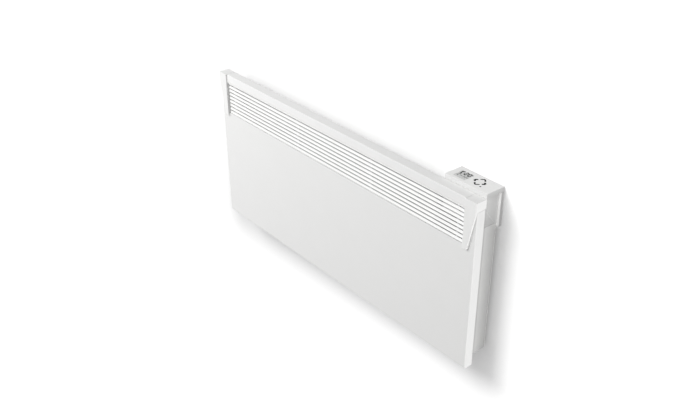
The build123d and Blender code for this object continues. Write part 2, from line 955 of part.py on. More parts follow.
def terminal_mouth(way):
    """Where a lead enters the terminal block's top, for a way counted from the left."""
    x = board_middle() + (way - (terminal_ways - 1) / 2) * terminal_size[0] / terminal_ways
    return (x, board_front - terminal_size[1] / 2, terminal_z() + terminal_size[2] / 2)


def make_relay():
    z = board_bottom + component_rise
    relay = on_board(board_middle() - relay_size[0] / 2 - component_gap, z, relay_size)
    return fillet(relay.edges().filter_by(Axis.Y), relay_edge)


def make_supply():
    """The small power supply: a wound block and its capacitors on the board."""
    z = board_bottom + component_rise
    body = on_board(board_middle() + supply_size[0] / 2 + component_gap, z, supply_size)
    return chamfer(body.edges().filter_by(Axis.Y), supply_edge)


def make_capacitors():
    z = board_bottom + power_board_height - 2 * board_margin - capacitor_radius
    return [
        rod_along("y", (board_middle() + x, z), capacitor_radius, board_front - capacitor_length, board_front)
        for x in capacitor_places
    ]


def make_ribbon():
    low = board_bottom + power_board_height - 2 * board_margin
    high = touch_board_top - board_sheet - connector_size[2]
    y_low = board_front - connector_size[1] / 2
    y_high = (control_front + control_back) / 2
    path = [
        (y_low + ribbon_sheet / 2, low),
        (y_low + ribbon_sheet / 2, low + ribbon_straight),
        (y_high + ribbon_sheet / 2, high - ribbon_straight),
        (y_high + ribbon_sheet / 2, high),
    ]
    section = bent_sheet(path, ribbon_sheet, ribbon_bend, Side.LEFT)
    left = ribbon_x() - ribbon_width / 2
    return Pos(left, 0, 0) * extrude(Plane.YZ * section, ribbon_width)


def make_heater_leads():
    """Two leads from the heater rod's pins down into the terminal block."""
    leads = []
    for side, way in ((1, 1), (-1, 0)):
        pin_end = partition_right + bush_flange + rod_end + pin_length
        rise = element_z + side * pin_spacing / 2
        x, y, mouth = terminal_mouth(way)
        end = mouth - terminal_depth + lead_end_gap
        points = [(pin_end, element_y, rise), (x, element_y, rise), (x, y, rise - lead_drop), (x, y, end)]
        leads.append(wire(points, lead_radius))
    return leads


# ---------------------------------------------------------------- switch and inlet
def make_switch_housing():
    """The rocker switch's frame below the floor and its body above it."""
    half_x, half_y = switch_length / 2, switch_width / 2
    bezel = block(
        (switch_x - half_x, switch_x + half_x),
        (fittings_y - half_y, fittings_y + half_y),
        (casing_floor - switch_bezel, casing_floor),
    )
    bezel = fillet(bezel.edges().filter_by(Axis.Z), switch_bezel_corner)
    body_x = half_x - switch_frame - snug
    body_y = half_y - switch_frame / 2 - snug
    body = block(
        (switch_x - body_x, switch_x + body_x),
        (fittings_y - body_y, fittings_y + body_y),
        (casing_floor - switch_bezel, casing_floor + switch_body_height),
    )
    well_y = rocker_width / 2 + rocker_gap
    well = rod_along(
        "y", (switch_x, pivot_z), rocker_radius + rocker_gap, fittings_y - well_y, fittings_y + well_y
    )
    mouth = block(
        (switch_x - rocker_radius - rocker_gap, switch_x + rocker_radius + rocker_gap),
        (fittings_y - well_y, fittings_y + well_y),
        (casing_floor - switch_bezel - over, pivot_z),
    )
    reach = rocker_width / 2 + pivot_length
    bearing = rod_along(
        "y", (switch_x, pivot_z), pivot_radius + close_fit, fittings_y - reach, fittings_y + reach
    )
    top = casing_floor + switch_body_height
    housing = bezel + body - well - mouth - bearing
    for way in (-1, 0, 1):
        x = switch_x + way * switch_tab_pitch
        housing += block(
            (x - tab_thickness / 2, x + tab_thickness / 2),
            (fittings_y - tab_width / 2, fittings_y + tab_width / 2),
            (top - over, top + tab_length),
        )
    return housing


def make_rocker():
    """The rocker, with stub axles, resting with its left end pressed in."""
    half_y = rocker_width / 2
    barrel = rod_along("y", (0, 0), rocker_radius, -half_y, half_y)
    shape = prism_along_y(
        [
            (-rocker_radius, -rocker_waist - rocker_end_drop),
            (0, -rocker_waist),
            (rocker_radius, -rocker_waist - rocker_end_drop),
            (rocker_radius, rocker_waist),
            (-rocker_radius, rocker_waist),
        ],
        (-half_y, half_y),
    )
    axle_end = half_y + pivot_length - snug
    axle = rod_along("y", (0, 0), pivot_radius, -axle_end, axle_end)
    rocker = (barrel & shape) + axle
    return Pos(switch_x, fittings_y, pivot_z) * Rot(0, -rocker_tilt, 0) * rocker


def make_cable_gland():
    """Screwed gland for the mains cable, its hexagon below the floor."""
    hexagon = RegularPolygon(gland_hex / 2, 6, major_radius=False)
    low = casing_floor - gland_hex_height
    head = Pos(inlet_x, fittings_y, low) * extrude(hexagon, gland_hex_height)
    thread = rod_along("z", (inlet_x, fittings_y), gland_thread_radius, casing_floor, low + gland_length)
    bore = rod_along("z", (inlet_x, fittings_y), gland_bore_radius, low - over, low + gland_length + over)
    return head + thread - bore


def make_gland_nut():
    hexagon = RegularPolygon(gland_hex / 2, 6, major_radius=False)
    nut = Pos(inlet_x, fittings_y, floor_top) * extrude(hexagon, gland_nut_height)
    bore = (floor_top - over, floor_top + gland_nut_height + over)
    return nut - rod_along("z", (inlet_x, fittings_y), gland_thread_radius + close_fit, *bore)


def make_sensor_holder():
    low = casing_floor - sensor_holder_drop
    high = floor_top + sensor_holder_rise
    centre = (sensor_x, fittings_y)
    flange_radius = sensor_holder_radius + sensor_flange
    cup = rod_along("z", centre, sensor_holder_radius, low, high)
    cup += rod_along("z", centre, flange_radius, floor_top, floor_top + sensor_flange)
    return cup - rod_along("z", centre, sensor_radius + snug / 2, low - over, high + over)


def make_room_sensor():
    low = casing_floor - sensor_drop
    return rod_along("z", (sensor_x, fittings_y), sensor_radius, low, low + sensor_length)


# ---------------------------------------------------------------- fasteners
def screw_along_y(x, z, head_face, length):
    """A pan-head screw driven from the back; its head's seat is at head_face."""
    head = rod_along("y", (x, z), screw_head_radius, head_face, head_face + screw_head)
    return head + rod_along("y", (x, z), screw_radius, head_face - length, head_face)


def screw_holes(places, face):
    """Clearance holes for screws along Y through the sheets that meet at this face."""
    reach = 2 * strip_wall
    hole = screw_radius + close_fit
    return [rod_along("y", place, hole, face - reach, face + reach) for place in places]


def flange_screw_places():
    z = panel_bottom + (bottom_lip + casing_rise - flange_drop) / 2
    reach = casing_half - flange_screw_inset
    return [(x, z) for x in spread(-reach, reach, flange_screw_count)]


def strip_screw_places():
    z = panel_top - strip_height / 2
    ends = (strip_screw_left - casing_half, unit_left - strip_screw_right)
    return [(x, z) for x in spread(*ends, strip_screw_count)]


# ---------------------------------------------------------------- wall bracket
def hook_outline(level):
    """A hook's side view: arm through the casing's back, finger upwards inside it."""
    finger_back = casing_inside - rail_clearance
    finger_front = finger_back - hook_finger_depth
    return [
        (rail_front + over, level - hook_arm),
        (finger_front + hook_corner, level - hook_arm),
        (finger_front, level - hook_arm + hook_corner),
        (finger_front, level + hook_finger - hook_corner),
        (finger_front + hook_corner, level + hook_finger),
        (finger_back - hook_corner, level + hook_finger),
        (finger_back, level + hook_finger - hook_corner),
        (finger_back, level),
        (rail_front + over, level),
    ]


def make_rail(side):
    """A channel rail: web on the wall, flanges forwards with a hook at each end."""
    middle = side * rail_spacing / 2
    half = rail_width / 2
    low, high = -rail_length / 2, rail_length / 2
    path = [
        (middle - half, rail_front),
        (middle - half, 0),
        (middle + half, 0),
        (middle + half, rail_front),
    ]
    section = bent_sheet(path, rail_sheet, rail_bend, Side.RIGHT)
    rail = Pos(0, 0, low) * extrude(section, high - low)
    for x in hook_places():
        if x * side > 0:
            plate = (x - rail_sheet / 2, x + rail_sheet / 2)
            for level in (-hook_level, hook_level):
                rail += prism_along_x(hook_outline(level), plate)
    for level in (-screw_rows / 2, screw_rows / 2):
        rail -= rod_along("y", (middle, level), wall_hole_radius, -rail_sheet - over, over)
    hole = side_rivet_radius + close_fit
    inner = middle - side * half
    reach = rail_sheet + over
    for z in (-rivet_spacing / 2, rivet_spacing / 2):
        rail -= rod_along("x", (cleat_rivet_y, z), hole, inner - reach, inner + reach)
    return rail


def make_cross_bar():
    """A shallow channel between the rails, web on the wall."""
    reach = rail_spacing / 2 - rail_width / 2
    half = cross_bar_height / 2
    path = [(-cross_bar_depth, -half), (0, -half), (0, half), (-cross_bar_depth, half)]
    section = bent_sheet(path, rail_sheet, rail_bend, Side.LEFT)
    bar = Pos(-reach, 0, 0) * extrude(Plane.YZ * section, 2 * reach)
    hole = rivet_radius + close_fit
    holes = [rod_along("y", place, hole, -rail_sheet - over, over) for place in bar_rivet_places()]
    return bar - holes


def bar_rivet_places():
    x = rail_spacing / 2 - rail_width / 2 - cleat_leg / 2
    return [(s * x, z) for s in (-1, 1) for z in (-rivet_spacing / 2, rivet_spacing / 2)]


def make_cleat(side):
    """An angle that joins the cross bar's web to the flange of a rail."""
    edge = rail_spacing / 2 - rail_width / 2
    path = [(edge - cleat_leg, -rail_sheet), (edge, -rail_sheet), (edge, rail_front)]
    section = bent_sheet(path, rail_sheet, cleat_bend, Side.RIGHT)
    half = cross_bar_height / 2 - 2 * rail_sheet - cleat_side_gap
    cleat = Pos(0, 0, -half) * extrude(section, 2 * half)
    hole = rivet_radius + close_fit
    side_hole = side_rivet_radius + close_fit
    for z in (-rivet_spacing / 2, rivet_spacing / 2):
        cleat -= rod_along("y", (edge - cleat_leg / 2, z), hole, -3 * rail_sheet, 0)
        cleat -= rod_along("x", (cleat_rivet_y, z), side_hole, edge - 2 * rail_sheet, edge + over)
    return cleat if side > 0 else cleat.mirror(Plane.YZ)


def make_rivets():
    """Rivets through the cleats: into the cross bar's web and into the rails' flanges."""
    rivets = []
    for x, z in bar_rivet_places():
        head = (-2 * rail_sheet - rivet_head, -2 * rail_sheet)
        shank = rod_along("y", (x, z), rivet_radius, -2 * rail_sheet, -wall_clearance)
        rivets.append(shank + rod_along("y", (x, z), rivet_head_radius, *head))
    edge = rail_spacing / 2 - rail_width / 2
    for side in (-1, 1):
        for z in (-rivet_spacing / 2, rivet_spacing / 2):
            place = (cleat_rivet_y, z)
            ends = sorted((side * (edge - rail_sheet), side * (edge + rail_sheet)))
            head = sorted((side * (edge - rail_sheet - rivet_head), side * (edge - rail_sheet)))
            tail = sorted((side * (edge + rail_sheet), side * (edge + rail_sheet + rivet_head)))
            rivets.append(
                rod_along("x", place, side_rivet_radius, *ends)
                + rod_along("x", place, side_rivet_head_radius, *head)
                + rod_along("x", place, side_rivet_head_radius, *tail)
            )
    return rivets


# ---------------------------------------------------------------- the parts
blade_levels = [outlet_bottom + blade_lift + i * blade_pitch for i in range(blade_count)]
comb_reach = cheek_inside - comb_inset

parts = {
    "front_panel": make_front_panel(),
    "top_strip": make_top_strip(),
    "right_end_cap": make_right_cap(),
    "left_end_cap": make_right_cap().mirror(Plane.YZ),
    "louvre_blades": [make_blade(level) for level in blade_levels],
    "louvre_combs": [make_comb(x) for x in spread(-comb_reach, comb_reach, comb_count)],
    "rear_casing": make_rear_casing(),
    "left_casing_end": make_casing_end(-1),
    "right_casing_end": make_casing_end(1),
    "inlet_guard": make_inlet_guard(),
    "bay_partition": make_partition(),
    "heat_shield": make_heat_shield(),
    "heating_element": make_element(),
    "heater_rod": make_heater_rod(),
    "element_bushes": [
        make_bush(element_right + snug, partition_right, 1),
        make_bush(element_left - snug, bracket_right - bracket_plate, -1),
    ],
    "element_bracket": make_element_bracket(),
    "thermal_cutout": make_thermal_cutout(),
    "control_body": make_control_body(),
    "control_lid": make_lid(),
    "control_rear_cover": make_rear_cover(),
    "display_window": make_display_window(),
    "display_module": make_display_module(),
    "touch_pads": make_touch_pads(),
    "touch_board": make_touch_board(),
    "power_board": make_power_board(),
    "board_standoffs": make_standoffs(),
    "board_screws": make_board_screws(),
    "terminal_block": make_terminal_block(),
    "relay": make_relay(),
    "power_supply": make_supply(),
    "capacitors": make_capacitors(),
    "ribbon_cable": make_ribbon(),
    "heater_leads": make_heater_leads(),
    "switch_housing": make_switch_housing(),
    "switch_rocker": make_rocker(),
    "cable_gland": make_cable_gland(),
    "gland_nut": make_gland_nut(),
    "sensor_holder": make_sensor_holder(),
    "room_sensor": make_room_sensor(),
    "flange_screws": [screw_along_y(x, z, flange_back, screw_length) for x, z in flange_screw_places()],
    "strip_screws": [screw_along_y(x, z, hood_back, screw_length) for x, z in strip_screw_places()],
    "control_screws": make_unit_screws(),
    "left_rail": make_rail(-1),
    "right_rail": make_rail(1),
    "cross_bar": make_cross_bar(),
    "bar_cleats": [make_cleat(-1), make_cleat(1)],
    "bracket_rivets": make_rivets(),
}

os.makedirs("parts", exist_ok=True)
for name, shape in parts.items():
    solids = shape if isinstance(shape, list) else [shape]
    children = [solid for part in solids for solid in part.solids()]
    export_step(Compound(children=children), f"parts/{name}.step")
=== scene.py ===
import json
import math

import bmesh
import bpy
import numpy as np
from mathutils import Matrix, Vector


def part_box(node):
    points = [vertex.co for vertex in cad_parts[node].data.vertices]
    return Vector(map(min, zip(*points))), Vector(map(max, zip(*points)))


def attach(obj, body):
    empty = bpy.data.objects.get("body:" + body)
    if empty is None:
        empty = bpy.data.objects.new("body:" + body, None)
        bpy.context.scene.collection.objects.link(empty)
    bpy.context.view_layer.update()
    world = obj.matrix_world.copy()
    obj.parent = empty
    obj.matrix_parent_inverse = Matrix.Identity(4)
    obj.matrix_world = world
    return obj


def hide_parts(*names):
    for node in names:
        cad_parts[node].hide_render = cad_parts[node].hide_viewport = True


# Looks of a wall panel convector heater: powder-enamelled folded steel, moulded white
# plastic, a small touch display, and the galvanised bracket it hangs on.
# Metres. +X to the right of someone facing it, +Y into the wall, +Z up.

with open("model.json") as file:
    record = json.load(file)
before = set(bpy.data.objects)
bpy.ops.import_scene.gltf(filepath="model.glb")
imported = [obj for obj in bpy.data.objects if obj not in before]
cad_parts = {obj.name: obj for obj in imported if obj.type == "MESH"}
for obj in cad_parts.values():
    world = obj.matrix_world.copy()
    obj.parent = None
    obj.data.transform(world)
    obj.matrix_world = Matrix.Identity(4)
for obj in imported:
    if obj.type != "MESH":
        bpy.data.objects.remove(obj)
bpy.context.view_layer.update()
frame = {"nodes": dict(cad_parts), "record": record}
MM = 0.001

# ---------------------------------------------------------------- camera
CAMERA_PLACE = (1.3329, -1.1456, 1.0032)
CAMERA_TURN = (59.54, 0.0, 49.74)       # degrees about X, Y and Z
CAMERA_LENS = 44.85                     # mm, on a 36 mm wide sensor


def make_camera():
    """The camera that the photograph was taken with, as far as the panel's corners tell."""
    lens = bpy.data.cameras.new("camera")
    lens.lens = CAMERA_LENS
    lens.sensor_width = 36.0
    camera = bpy.data.objects.new("camera", lens)
    camera.location = CAMERA_PLACE
    camera.rotation_euler = [math.radians(a) for a in CAMERA_TURN]
    bpy.context.scene.collection.objects.link(camera)
    bpy.context.scene.camera = camera


# ---------------------------------------------------------------- ways of making
def linear(code):
    """A linear, opaque colour from an sRGB hex value such as 'f0f0ee'."""
    channels = [int(code[i:i + 2], 16) / 255 for i in (0, 2, 4)]
    return [c / 12.92 if c <= 0.04045 else ((c + 0.055) / 1.055) ** 2.4 for c in channels] + [1.0]


def add(tree, kind, links=None, **settings):
    """Adds one node. links gives each input a value, or another node's output to take."""
    made = tree.nodes.new(kind)
    for key, value in settings.items():
        setattr(made, key, value)
    for socket, value in (links or {}).items():
        target = made.inputs[socket]
        if isinstance(value, bpy.types.NodeSocket):
            tree.links.new(value, target)
        else:
            target.default_value = value
    return made


def mesh_object(name, vertices, faces, material, slot, body="heater", smooth=True):
    """An object at the origin from vertices in metres; it takes its material and body."""
    mesh = bpy.data.meshes.new(name)
    mesh.from_pydata(np.asarray(vertices, float).reshape(-1, 3).tolist(), [], [list(f) for f in faces])
    mesh.polygons.foreach_set("use_smooth", [smooth] * len(mesh.polygons))
    mesh.materials.append(material)
    mesh.validate()
    made = bpy.data.objects.new(name, mesh)
    bpy.context.scene.collection.objects.link(made)
    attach(made, body)
    return made


# ---------------------------------------------------------------- materials
def new_material(name):
    """An empty node material and its tree."""
    material = bpy.data.materials.new(name)
    material.use_nodes = True
    tree = material.node_tree
    tree.nodes.clear()
    return material, tree


def grain(tree, millimetres, detail=2.0, stretch=(1, 1, 1)):
    """Noise on object coordinates whose lumps are this many millimetres across."""
    place = add(tree, "ShaderNodeTexCoord").outputs["Object"]
    scaled = add(tree, "ShaderNodeMapping", {"Vector": place, "Scale": stretch}).outputs["Vector"]
    size = 1 / (millimetres * MM)
    noise = add(tree, "ShaderNodeTexNoise", {"Vector": scaled, "Scale": size, "Detail": detail})
    return noise.outputs["Fac"]


def surface(tree, colours, tone, rough, gloss=None, relief=None, ramp=(0.3, 0.7), **more):
    """The shader of one finish. Colour runs between two hex values over the tone pattern, and
    roughness between two numbers over the gloss pattern; without its pattern, each is the
    socket's own value. Relief is a pattern of heights, its depth in millimetres and its strength."""
    links = {"Base Color": colours, "Roughness": rough, **more}
    if tone is not None:
        tones = add(tree, "ShaderNodeValToRGB", {"Fac": tone})
        for stop, code, position in zip(tones.color_ramp.elements, colours, ramp):
            stop.color = linear(code)
            stop.position = position
        links["Base Color"] = tones.outputs["Color"]
    if gloss is not None:
        spread = add(tree, "ShaderNodeMapRange", {"Value": gloss, "To Min": rough[0], "To Max": rough[1]})
        links["Roughness"] = spread.outputs["Result"]
    if relief is not None:
        height, depth_mm, strength = relief
        heights = {"Height": height, "Distance": depth_mm * MM, "Strength": strength}
        links["Normal"] = add(tree, "ShaderNodeBump", heights).outputs["Normal"]
    shader = add(tree, "ShaderNodeBsdfPrincipled", links)
    add(tree, "ShaderNodeOutputMaterial", {"Surface": shader.outputs["BSDF"]})


def powder_enamel(name, low, high):
    """Baked polyester powder on steel: satin, with the shallow orange peel of a sprayed
    powder. Real peel is about 1.5 mm; it's drawn at 3 mm so that it shows."""
    material, tree = new_material(name)
    clouds = grain(tree, 60)
    peel = grain(tree, 3)
    surface(tree, (low, high), clouds, (0.34, 0.42), clouds, (peel, 0.03, 0.35), IOR=1.5)
    return material


def moulded_plastic(name, low, high, grit_mm=0.8, rough=(0.38, 0.48)):
    """Moulded ABS, nylon, PVC or rubber with a fine spark-eroded grain, which gives a soft
    satin sheen."""
    material, tree = new_material(name)
    clouds = grain(tree, 35)
    grit = grain(tree, grit_mm, 3.0)
    surface(tree, (low, high), clouds, rough, grit, (grit, 0.02, 0.3), IOR=1.53)
    return material


def galvanised_steel():
    """Hot-dip galvanised sheet: pale grey spangles about 9 mm across, matt to satin."""
    material, tree = new_material("galvanised_steel")
    place = add(tree, "ShaderNodeTexCoord").outputs["Object"]
    spangle = add(tree, "ShaderNodeTexVoronoi", {"Vector": place, "Scale": 1 / (9 * MM)})
    tone = add(tree, "ShaderNodeSeparateColor", {"Color": spangle.outputs["Color"]}).outputs["Red"]
    surface(
        tree, ("a9adb0", "c6c9cb"), tone, (0.32, 0.5), tone, (grain(tree, 1.2), 0.02, 0.3),
        ramp=(0.1, 0.9), Metallic=1.0,
    )
    return material


def extruded_aluminium():
    """As-extruded aluminium: fine die lines along the section's length, light oxide haze."""
    material, tree = new_material("extruded_aluminium")
    lines = grain(tree, 0.7, 3.0, (0.02, 1, 1))
    surface(tree, ("a4a7a9", "c3c6c8"), lines, (0.3, 0.48), lines, (lines, 0.02, 0.4), Metallic=1.0)
    return material


def annealed_tube():
    """Stainless tube that heat has turned straw to brown in patches."""
    material, tree = new_material("annealed_tube")
    patches = grain(tree, 25)
    surface(tree, ("6f6256", "8f8579"), patches, (0.35, 0.5), patches, Metallic=1.0)
    return material


def zinc_plate():
    """Bright zinc plate with a faint yellow and blue passivation."""
    material, tree = new_material("zinc_plate")
    tint = grain(tree, 4)
    fine = grain(tree, 0.4)
    surface(tree, ("b2b6bd", "c9c6b8"), tint, (0.22, 0.34), tint, (fine, 0.01, 0.25), Metallic=1.0)
    return material


def steatite():
    """Pressed and fired steatite ceramic: cream white, slightly speckled, unglazed."""
    material, tree = new_material("steatite")
    specks = grain(tree, 0.9, 4.0)
    surface(tree, ("d9d2bf", "ece7da"), specks, (0.45, 0.6), specks, (specks, 0.02, 0.4))
    return material


def circuit_laminate():
    """Green solder mask over glass-epoxy board, with paler copper tracks under it."""
    material, tree = new_material("circuit_laminate")
    place = add(tree, "ShaderNodeTexCoord").outputs["Object"]
    cells = {"Vector": place, "Scale": 1 / (6 * MM)}
    tracks = add(tree, "ShaderNodeTexVoronoi", cells, distance="CHEBYCHEV").outputs["Distance"]
    surface(tree, ("1d5a36", "2f7a4c"), tracks, 0.3, relief=(tracks, 0.03, 0.3), ramp=(0.35, 0.42))
    return material


def clear_window():
    """Clear polycarbonate over the display: a glossy skin that lets the picture through."""
    material, tree = new_material("clear_window")
    surface(tree, linear("dfe3e2"), None, (0.05, 0.09), grain(tree, 12), Alpha=0.04, IOR=1.585)
    return material


def liquid_crystal():
    """Reflective display: pale grey cell with a faint mottle from its rear reflector."""
    material, tree = new_material("liquid_crystal")
    mottle = grain(tree, 0.6, 3.0)
    surface(tree, ("dcdcdb", "e3e3e2"), mottle, 0.45, relief=(mottle, 0.01, 0.2))
    return material


def printed_ink(name, low, high):
    """Pad-printed ink: matt, with a slightly uneven film."""
    material, tree = new_material(name)
    film = grain(tree, 0.5, 3.0)
    surface(tree, (low, high), film, (0.5, 0.65), film, (film, 0.01, 0.3), IOR=1.25)
    return material


WHITE_ENAMEL = powder_enamel("white_enamel", "eeeeed", "efefee")
# Drawn darker than the front's enamel: painted shade for the casing's recessed sides beside the wall.
SHADED_CASING_ENAMEL = powder_enamel("casing_enamel", "dcdcdb", "e1e1df")
WHITE_ABS = moulded_plastic("white_abs", "f2f2f1", "f5f5f4")
# Greyer than the white plastic: painted shade on the control unit, chiefly its lid's front; lamps of their
# own lift the lid's top and the sides.
SHADED_CONTROL_ABS = moulded_plastic("control_abs", "e9e9e8", "ececeb", 0.7)
BLACK_NYLON = moulded_plastic("black_nylon", "141415", "1d1d1e", 0.8, (0.4, 0.55))
GREY_NYLON = moulded_plastic("grey_nylon", "8a8c8e", "97999b", 0.8, (0.4, 0.55))
LEAD_PVC = moulded_plastic("lead_pvc", "9a9c9e", "a8aaac", 1.5, (0.35, 0.45))
CONTACT_RUBBER = moulded_plastic("contact_rubber", "17171a", "202023", 1.0, (0.6, 0.75))
GALVANISED = galvanised_steel()
ALUMINIUM = extruded_aluminium()
TUBE = annealed_tube()
ZINC = zinc_plate()
STEATITE = steatite()
LAMINATE = circuit_laminate()
WINDOW = clear_window()
CRYSTAL = liquid_crystal()
KEY_INK = printed_ink("key_ink", "050506", "0c0c0d")
SEGMENT_INK = printed_ink("segment_ink", "060707", "0e0f0f")
FAINT_INK = printed_ink("faint_ink", "5a5b5b", "666767")
SWITCH_INK = printed_ink("switch_ink", "dcdcda", "e6e6e4")

SLOT_MATERIAL = {
    "white_enamel": WHITE_ENAMEL,
    "casing_enamel": SHADED_CASING_ENAMEL,
    "white_plastic": WHITE_ABS,
    "control_plastic": SHADED_CONTROL_ABS,
    "window_plastic": WINDOW,
    "galvanised_steel": GALVANISED,
    "element_aluminium": ALUMINIUM,
    "rod_steel": TUBE,
    "rod_aluminium": ALUMINIUM,
    "zinc_steel": ZINC,
    "ceramic": STEATITE,
    "black_plastic": BLACK_NYLON,
    "grey_plastic": GREY_NYLON,
    "board_laminate": LAMINATE,
    "black_rubber": CONTACT_RUBBER,
    "grey_pvc": LEAD_PVC,
}
NODE_SLOT = {part["node"]: part["material_slot"] for part in frame["record"]["subparts"]}


def paint_nodes():
    """Each CAD node takes the material of its slot."""
    for node, shown in frame["nodes"].items():
        shown.data.materials.clear()
        shown.data.materials.append(SLOT_MATERIAL[NODE_SLOT[node]])


# ---------------------------------------------------------------- rounded edges
MERGE_WITHIN = 0.002 * MM
FLAT_WITHIN = 1.0               # degrees between facets that are one flat face
SHARP_FROM = 25.0               # degrees between faces that meet in an edge
EDGE_STEPS = 2
EDGE_RADIUS = {                 # mm
    "front_panel": 0.3, "top_strip": 0.3, "right_end_cap": 0.3, "left_end_cap": 0.3,
    "louvre_blades": 0.25, "louvre_combs": 0.3, "rear_casing": 0.25, "left_casing_end": 0.25,
    "right_casing_end": 0.25, "inlet_guard": 0.6, "control_body": 0.15, "control_lid": 0.4,
    "control_rear_cover": 0.4, "switch_housing": 0.4, "switch_rocker": 0.5, "cable_gland": 0.7,
    "gland_nut": 0.5, "sensor_holder": 0.4, "room_sensor": 0.8, "left_rail": 0.4, "right_rail": 0.4,
    "cross_bar": 0.4, "bar_cleats": 0.4, "bracket_rivets": 0.4, "element_bracket": 0.3,
    "thermal_cutout": 0.4, "element_bushes": 0.5, "terminal_block": 0.4, "capacitors": 0.7,
}
NODE_BODY = {node: body for body, nodes in frame["record"]["behaviour"]["bodies"].items() for node in nodes}


def rounded_copy(node, radius):
    """The node's own surface with its corners broken: its loose triangles are merged, flat
    neighbours joined, and each sharp edge swept by an arc of this radius in millimetres."""
    work = bmesh.new()
    work.from_mesh(frame["nodes"][node].data)
    bmesh.ops.remove_doubles(work, verts=work.verts, dist=MERGE_WITHIN)
    bmesh.ops.dissolve_limit(
        work, angle_limit=math.radians(FLAT_WITHIN), verts=work.verts, edges=work.edges,
    )
    mesh = bpy.data.meshes.new(node + "_rounded")
    work.to_mesh(mesh)
    work.free()
    mesh.polygons.foreach_set("use_smooth", [True] * len(mesh.polygons))
    mesh.materials.clear()
    mesh.materials.append(SLOT_MATERIAL[NODE_SLOT[node]])
    made = bpy.data.objects.new(node + "_rounded", mesh)
    bpy.context.scene.collection.objects.link(made)
    edges = made.modifiers.new("edges", "BEVEL")
    edges.width = radius * MM
    edges.segments = EDGE_STEPS
    edges.limit_method = "ANGLE"
    edges.angle_limit = math.radians(SHARP_FROM)
    edges.use_clamp_overlap = False
    made.modifiers.new("normals", "WEIGHTED_NORMAL")
    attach(made, NODE_BODY[node])
    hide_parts(node)


def round_edges():
    for node, radius in EDGE_RADIUS.items():
        rounded_copy(node, radius)


# ---------------------------------------------------------------- printed marks
def bars(strokes, low, high):
    """Closed bars on a level face. A stroke is start, end and width in millimetres: its four
    corners are the two ends, each moved half a width to the left and right of its run; they
    stand at the low and the high level."""
    runs = np.array([[start, end] for start, end, _ in strokes], float)
    widths = np.array([width for _, _, width in strokes])[:, None]
    along = runs[:, 1] - runs[:, 0]
    along /= np.linalg.norm(along, axis=1, keepdims=True)
    side = np.stack([-along[:, 1], along[:, 0]], axis=1) * widths / 2
    ring = np.stack([runs[:, 0] - side, runs[:, 1] - side, runs[:, 1] + side, runs[:, 0] + side], axis=1)
    levels = np.array([low, high])[None, :, None]
    corners = np.empty((len(strokes), 2, 4, 3))
    corners[..., :2] = ring[:, None]
    corners[..., 2] = levels
    box = [(3, 2, 1, 0), (4, 5, 6, 7), (0, 1, 5, 4), (1, 2, 6, 5), (2, 3, 7, 6), (3, 0, 4, 7)]
    faces = [tuple(8 * i + corner for corner in face) for i in range(len(strokes)) for face in box]
    return corners.reshape(-1, 3) * MM, faces


def disc(centre, radius, low, high, sides=24):
    """A closed disc: a circle of points at the low and the high level, in millimetres."""
    turn = np.linspace(0, 2 * np.pi, sides, endpoint=False)
    ring = np.stack([centre[0] + radius * np.cos(turn), centre[1] + radius * np.sin(turn)], axis=1)
    points = np.vstack([np.column_stack([ring, np.full(sides, level)]) for level in (low, high)])
    walls = [(i, (i + 1) % sides, sides + (i + 1) % sides, sides + i) for i in range(sides)]
    return points * MM, walls + [tuple(range(sides - 1, -1, -1)), tuple(range(sides, 2 * sides))]


SEGMENTS = {"0": "abcdef", "2": "abged", "3": "abgcd"}     # which of the seven bars each figure lights
FIGURE_SLIMNESS = 0.55          # a figure's width over its height
BAR_GAP = 0.25                  # what a bar stops short at each end, over its width


def figure_strokes(figure, corner, height, width):
    """A seven-bar figure from its lower left corner; bars stop short of each other."""
    x, y = corner
    wide, half, short = height * FIGURE_SLIMNESS, height / 2, width * BAR_GAP
    ends = {
        "a": ((short, height), (wide - short, height)), "d": ((short, 0), (wide - short, 0)),
        "g": ((short, half), (wide - short, half)), "b": ((wide, half + short), (wide, height - short)),
        "c": ((wide, short), (wide, half - short)), "e": ((0, short), (0, half - short)),
        "f": ((0, half + short), (0, height - short)),
    }
    lit = [ends[bar] for bar in SEGMENTS[figure]]
    return [((x + a[0], y + a[1]), (x + b[0], y + b[1]), width) for a, b in lit]


def chevron(apex, pointing, reach, width):
    """Two strokes that run back from the apex at 45 degrees to the way it points."""
    tip, ahead = np.array(apex), np.array(pointing)
    across = np.array([-ahead[1], ahead[0]])
    return [(tuple(tip), tuple(tip + reach * (side * across - ahead)), width) for side in (-1, 1)]


INK_SUNK, INK_PROUD = 0.03, 0.02        # mm of a printed film under and over the face it's on
KEY_CENTRE = (387.3, -22.9)             # mm in X and Y, as all places on the lid
SIDE_KEY = {"offset": 13.2, "reach": 4.6, "width": 4.2}
DEEP_KEY = {"offset": 14.4, "reach": 6.2, "width": 3.2}
KEY_DOT = ((400.0, -36.0), 1.7)


def make_key_marks():
    """Four arrow marks and a dot, printed on the lid over the touch keys."""
    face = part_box("control_lid")[1][2] / MM
    low, high = face - INK_SUNK, face + INK_PROUD
    strokes = []
    for pointing, key in (((-1, 0), SIDE_KEY), ((1, 0), SIDE_KEY), ((0, 1), DEEP_KEY), ((0, -1), DEEP_KEY)):
        apex = [KEY_CENTRE[i] + key["offset"] * pointing[i] for i in (0, 1)]
        strokes += chevron(apex, pointing, key["reach"], key["width"])
    mesh_object("key_marks", *bars(strokes, low, high), KEY_INK, "control_plastic", smooth=False)
    mesh_object("key_dot", *disc(*KEY_DOT, low, high), KEY_INK, "control_plastic", smooth=False)


